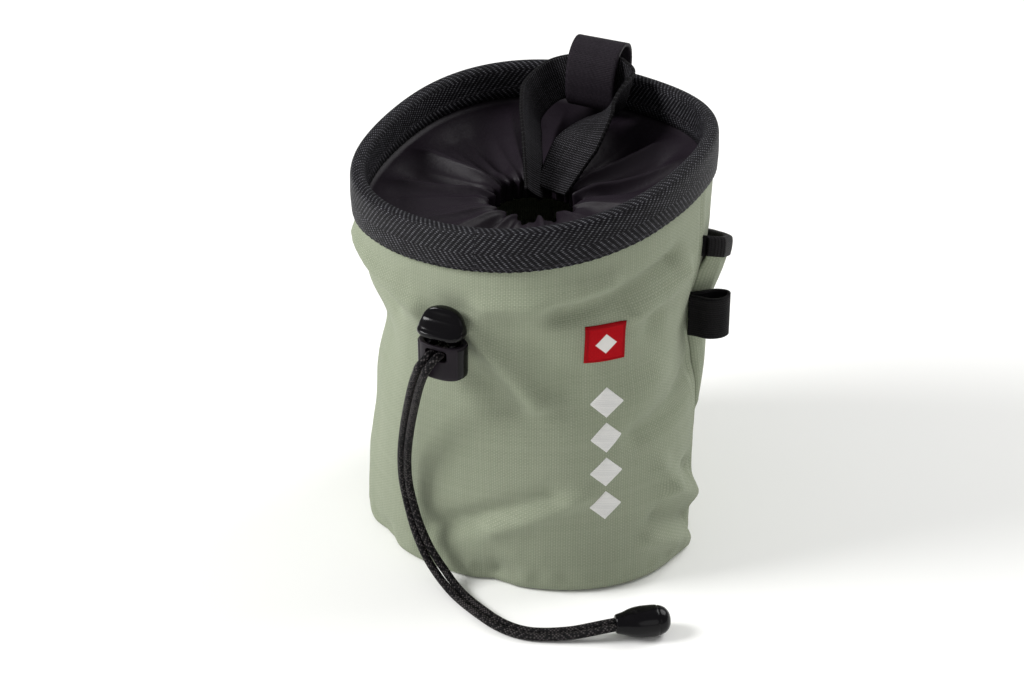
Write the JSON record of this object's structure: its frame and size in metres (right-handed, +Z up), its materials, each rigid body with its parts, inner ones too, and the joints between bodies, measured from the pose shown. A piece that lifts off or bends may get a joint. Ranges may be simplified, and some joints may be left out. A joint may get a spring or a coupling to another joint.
{
  "type": "climbing chalk bag",
  "caption": "Round cloth chalk bag with a bound mouth, gathered closure skirt, drawcord with push-button lock, pull strap, hanging loop, brush loop and back pocket.",
  "frame": {"origin": "centre of the base's underside, on the ground", "axes": "+Z up towards the mouth, -Y towards the front with the cord lock, +X towards the side with the brush loop"},
  "size_m": [0.1473, 0.1682, 0.1713],
  "materials": {
    "green_cloth": "matt ribbed synthetic cloth",
    "dark_webbing": "woven webbing, low sheen",
    "thin_black_cloth": "thin smooth cloth, soft sheen",
    "black_elastic": "matt knitted elastic",
    "black_cord": "braided cord",
    "black_plastic": "gloss moulded plastic",
    "red_patch": "woven patch"
  },
  "bodies": {
    "bag": {"front_panel": "green_cloth", "back_panel": "green_cloth", "base_panel": "green_cloth", "rim_binding": "dark_webbing", "closure_skirt": "thin_black_cloth", "hang_loop": "dark_webbing", "pull_strap": "dark_webbing", "brush_loop": "black_elastic", "back_pocket": "green_cloth", "pocket_binding": "black_elastic", "woven_patch": "red_patch", "lock_barrel": "black_plastic", "cord_left": "black_cord", "cord_right": "black_cord", "cord_end": "black_plastic"},
    "button": {"lock_button": "black_plastic"}
  },
  "joints": [
    {"name": "lock_button_press", "type": "slide", "parent": "bag", "child": "button", "axis": [0, 0, -1], "range_m": [0, 0.0026], "stiffness_N_per_m": 200, "springref_m": -0.002}
  ]
}
